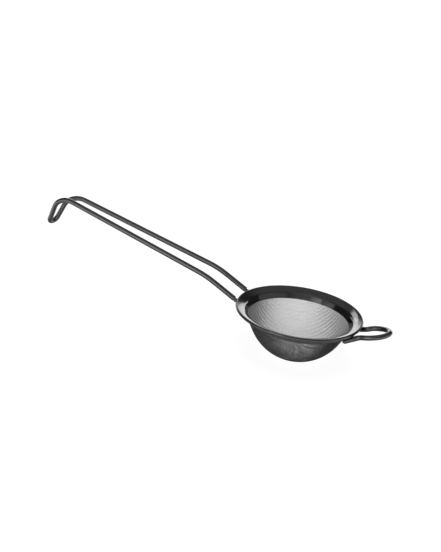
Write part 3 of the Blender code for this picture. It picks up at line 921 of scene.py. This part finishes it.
# Studio: a white sweep that the metal sees too, a darker room above, and soft lamps
studio = {
    "floorReach": 3.0,
    "halfWidth": 1.1,
    "backReach": 1.3,                # from the object back to the upright part of the sweep
    "backHeight": 0.45,
    "backTolerance": 0.001,          # an edge this near to the back is part of it
    "bendWidth": 0.3,
    "bendSteps": 12,
    "paperPlain": 0.8,               # to all but the camera and the metal
    "paper": 0.93,                   # how much of the sweep's white is its own, and how much is lit
    "paperLit": 0.14,
    "paperMirrored": (0.10, 0.66),   # its own white in the metal, near the object and far from it: painted shade keeps it low near the object
    "paperFar": 0.5,
    "paperMirroredLit": 0.80,        # and its lit share, which keeps the lamps' shadow under the cup and takes the painted shade pool
    # painted shade: a dark pool on the floor where the metal mirrors it, in front of the cup and along the
    # tool, which no lamp casts
    "paintedShadeCentre": Vector((0.065, 0.022, 0)),
    "paintedShadeSqueeze": Vector((0.35, 1, 1)),        # the painted shade pool is drawn out along the tool
    "paintedShadeNear": 0.03,                # the painted shade on the mirrored floor is darkest this near to that place
    "paintedShadeFar": 0.10,
    "paintedShadeLevel": 0.18,
    "roomLow": 0.05,                 # the room at eye level
    "roomRise": {"From Min": 0.48, "From Max": 0.78},       # sine of the elevation where it brightens
    "roomBack": {"From Min": 0.3, "From Max": 0.95, "To Min": 0.075, "To Max": 0.16},
    "roomBackRise": math.radians(50),
    "roomFront": {"From Min": 0.55, "From Max": 0.95, "To Min": 0, "To Max": 0.18},
    "roomFrontRise": math.radians(32),
    "roomFrontTurn": math.radians(-27),         # from the camera's own direction
}

view = {
    "target": Vector((0.05643, -0.00262, 0.03773)),
    "azimuth": math.radians(111.59),
    "elevation": math.radians(22.36),
    "roll": math.radians(7.86),
    "distance": 0.7395,
    "lens": 75.97,
    "sensor": 36,
    "clipStart": 0.01,
}


def outFrom(azimuth, elevation):
    # the direction from the object out to a place in the room
    flat = math.cos(elevation)
    return Vector((flat * math.cos(azimuth), flat * math.sin(azimuth), math.sin(elevation)))


def layPaper(tree, below, mask, lit, white):
    # paper with a lit share and a white of its own, over what lies below where the mask is 1
    link = tree.links.new
    paper = addNode(tree, "ShaderNodeBsdfDiffuse", {"Color": (lit, lit, lit, 1)})
    glow = addNode(tree, "ShaderNodeEmission", {"Color": (1, 1, 1, 1), "Strength": white})
    seen = addNode(tree, "ShaderNodeAddShader")
    link(glow.outputs[0], seen.inputs[0])
    link(paper.outputs[0], seen.inputs[1])
    mixed = addNode(tree, "ShaderNodeMixShader")
    link(mask, mixed.inputs[0])
    link(below.outputs[0], mixed.inputs[1])
    link(seen.outputs[0], mixed.inputs[2])
    return mixed, paper, glow


def makePaper():
    # white to the camera, white with the cup's shadow and a painted shade pool in the metal, plain lit paper
    # to the rest
    material = bpy.data.materials.new("whitePaper")
    material.use_nodes = True
    tree = material.node_tree
    link = tree.links.new
    tree.nodes.remove(tree.nodes["Principled BSDF"])
    path = addNode(tree, "ShaderNodeLightPath")
    mirror = addNode(tree, "ShaderNodeMath", operation="MAXIMUM")
    link(path.outputs["Is Glossy Ray"], mirror.inputs[0])
    link(path.outputs["Is Transmission Ray"], mirror.inputs[1])
    plain = addNode(tree, "ShaderNodeBsdfDiffuse", {"Color": (studio["paperPlain"],) * 3 + (1,)})
    # painted shade: in the metal's view, the paper's lit colour and its own white are both lowered round the
    # object
    coords = addNode(tree, "ShaderNodeTexCoord")
    squeezed = addNode(tree, "ShaderNodeVectorMath", {1: studio["paintedShadeSqueeze"]}, operation="MULTIPLY")
    link(coords.outputs["Object"], squeezed.inputs[0])
    middle = studio["paintedShadeCentre"] * studio["paintedShadeSqueeze"]
    near = addNode(tree, "ShaderNodeVectorMath", {1: middle}, operation="DISTANCE")
    link(squeezed.outputs[0], near.inputs[0])
    apart = addNode(tree, "ShaderNodeVectorMath", {1: studio["paintedShadeCentre"]}, operation="DISTANCE")
    link(coords.outputs["Object"], apart.inputs[0])
    fade = {"From Min": studio["paintedShadeNear"], "From Max": studio["paintedShadeFar"], "To Min": studio["paintedShadeLevel"]}
    paintedShadePool = addNode(tree, "ShaderNodeMapRange", fade, interpolation_type="SMOOTHSTEP")
    link(near.outputs["Value"], paintedShadePool.inputs["Value"])
    lit = studio["paperMirroredLit"]
    tint = addNode(tree, "ShaderNodeVectorMath", {0: (lit, lit, lit)}, operation="SCALE")
    link(paintedShadePool.outputs["Result"], tint.inputs["Scale"])
    nearWhite, farWhite = studio["paperMirrored"]
    whiten = {"From Min": studio["paintedShadeFar"], "From Max": studio["paperFar"], "To Min": nearWhite}
    own = addNode(tree, "ShaderNodeMapRange", whiten, interpolation_type="SMOOTHSTEP")
    own.inputs["To Max"].default_value = farWhite
    link(apart.outputs["Value"], own.inputs["Value"])
    inMetal, paper, glow = layPaper(tree, plain, mirror.outputs[0], lit, farWhite)
    link(tint.outputs["Vector"], paper.inputs["Color"])
    link(own.outputs["Result"], glow.inputs["Strength"])
    cameraRay = path.outputs["Is Camera Ray"]
    whole = layPaper(tree, inMetal, cameraRay, studio["paperLit"], studio["paper"])[0]
    link(whole.outputs[0], tree.nodes["Material Output"].inputs["Surface"])
    return material


def makeSweep():
    # floor and upright back in one bent sheet, turned to face the camera
    deselect()
    bpy.ops.mesh.primitive_plane_add(size=2 * studio["floorReach"], location=(0, 0, 0))
    sweep = bpy.context.object
    sweep.name = "paperSweep"
    sweep.data.name = "paperSweep"
    sweep.scale.y = studio["halfWidth"] / studio["floorReach"]
    bpy.ops.object.mode_set(mode="EDIT")
    bpy.ops.mesh.select_all(action="SELECT")
    bpy.ops.mesh.bisect(plane_co=(-studio["backReach"], 0, 0), plane_no=(-1, 0, 0), clear_outer=True)
    bpy.ops.object.mode_set(mode="OBJECT")
    for edge in sweep.data.edges:
        ends = [sweep.data.vertices[index].co.x for index in edge.vertices]
        edge.select = max(ends) < -studio["backReach"] + studio["backTolerance"]
    bpy.ops.object.mode_set(mode="EDIT")
    bpy.ops.mesh.select_mode(type="EDGE")
    bpy.ops.mesh.extrude_region_move(TRANSFORM_OT_translate={"value": (0, 0, studio["backHeight"])})
    bpy.ops.object.mode_set(mode="OBJECT")
    bevel = sweep.modifiers.new("bend", "BEVEL")
    bevel.width = studio["bendWidth"]
    bevel.segments = studio["bendSteps"]
    bpy.ops.object.modifier_apply(modifier=bevel.name)
    bpy.ops.object.shade_smooth()
    sweep.rotation_euler.z = view["azimuth"]
    bpy.ops.object.transform_apply(location=True, rotation=True, scale=True)
    sweep.data.materials.append(makePaper())


def glowTowards(tree, coords, way, fade):
    # the room's light, strongest in one direction and fading out round it
    facing = addNode(tree, "ShaderNodeVectorMath", {1: way}, operation="DOT_PRODUCT")
    tree.links.new(coords.outputs["Generated"], facing.inputs[0])
    glow = addNode(tree, "ShaderNodeMapRange", fade, interpolation_type="SMOOTHSTEP")
    tree.links.new(facing.outputs["Value"], glow.inputs["Value"])
    return glow.outputs["Result"]


def makeRoom():
    # dark at eye level, paler overhead and most so behind the object, with a soft glow at the camera's left
    world = bpy.data.worlds.new("studioRoom")
    bpy.context.scene.world = world
    world.use_nodes = True
    tree = world.node_tree
    link = tree.links.new
    dim = tree.nodes["Background"]
    dim.inputs["Color"].default_value = (1, 1, 1, 1)
    coords = addNode(tree, "ShaderNodeTexCoord")
    split = addNode(tree, "ShaderNodeSeparateXYZ")
    link(coords.outputs["Generated"], split.inputs[0])
    rise = addNode(tree, "ShaderNodeMapRange", studio["roomRise"], interpolation_type="SMOOTHSTEP")
    link(split.outputs["Z"], rise.inputs["Value"])
    backWay = outFrom(view["azimuth"] + math.pi, studio["roomBackRise"])
    level = addNode(tree, "ShaderNodeMath", {2: studio["roomLow"]}, operation="MULTIPLY_ADD")
    link(rise.outputs["Result"], level.inputs[0])
    link(glowTowards(tree, coords, backWay, studio["roomBack"]), level.inputs[1])
    frontWay = outFrom(view["azimuth"] + studio["roomFrontTurn"], studio["roomFrontRise"])
    total = addNode(tree, "ShaderNodeMath", operation="ADD")
    link(level.outputs[0], total.inputs[0])
    link(glowTowards(tree, coords, frontWay, studio["roomFront"]), total.inputs[1])
    link(total.outputs[0], dim.inputs["Strength"])
    white = addNode(tree, "ShaderNodeBackground", {"Color": (1, 1, 1, 1), "Strength": 1.0})
    path = addNode(tree, "ShaderNodeLightPath")
    mixed = addNode(tree, "ShaderNodeMixShader")
    link(path.outputs["Is Camera Ray"], mixed.inputs[0])
    link(dim.outputs[0], mixed.inputs[1])
    link(white.outputs[0], mixed.inputs[2])
    link(mixed.outputs[0], tree.nodes["World Output"].inputs["Surface"])


# Lamps: azimuth and elevation as seen from the object, in degrees
lamps = {
    "topSoft": {"azimuth": 100, "elevation": 80, "distance": 1.3, "size": (1.0, 1.0), "power": 14.0,
                "mirrored": False},
    "leftBox": {"azimuth": 73, "elevation": 12, "distance": 1.1, "size": (0.46, 1.0), "power": 0.9},
    "leftWide": {"azimuth": 58, "elevation": 8, "distance": 1.15, "size": (1.3, 1.0), "power": 1.35},
    "backStrip": {"azimuth": -78, "elevation": 11, "distance": 1.2, "size": (1.3, 0.42), "power": 1.55,
                  "roll": 14},
    "backCorner": {"azimuth": -53, "elevation": 27, "distance": 1.2, "size": (0.3, 0.35), "power": 0.60},
    "rightFill": {"azimuth": 178, "elevation": 26, "distance": 1.2, "size": (1.6, 0.6), "power": 0.6},
}


def makeLamps():
    aim = Vector((0, 0, cup["top"] / 2))
    for name, lamp in lamps.items():
        way = outFrom(math.radians(lamp["azimuth"]), math.radians(lamp["elevation"]))
        deselect()
        bpy.ops.object.light_add(type="AREA", location=aim + way * lamp["distance"])
        light = bpy.context.object
        light.name = name
        roll = Matrix.Rotation(math.radians(lamp.get("roll", 0)), 3, "Z")
        light.rotation_euler = (way.to_track_quat("Z", "Y").to_matrix() @ roll).to_euler()
        light.data.shape = "RECTANGLE"
        light.data.size, light.data.size_y = lamp["size"]
        light.data.energy = lamp["power"]
        light.visible_camera = False
        light.visible_glossy = lamp.get("mirrored", True)


def makeCamera():
    back = outFrom(view["azimuth"], view["elevation"])
    bpy.ops.object.camera_add(location=view["target"] + back * view["distance"])
    camera = bpy.context.object
    camera.name = "photoCamera"
    level = back.to_track_quat("Z", "Y").to_matrix()
    camera.rotation_euler = (level @ Matrix.Rotation(view["roll"], 3, "Z")).to_euler()
    camera.data.sensor_width = view["sensor"]
    camera.data.lens = view["lens"]
    camera.data.clip_start = view["clipStart"]
    bpy.context.scene.camera = camera


makeSweep()
makeRoom()
makeLamps()
makeCamera()
bpy.context.scene.view_settings.view_transform = "Standard"
print("studio, lamps and camera set")
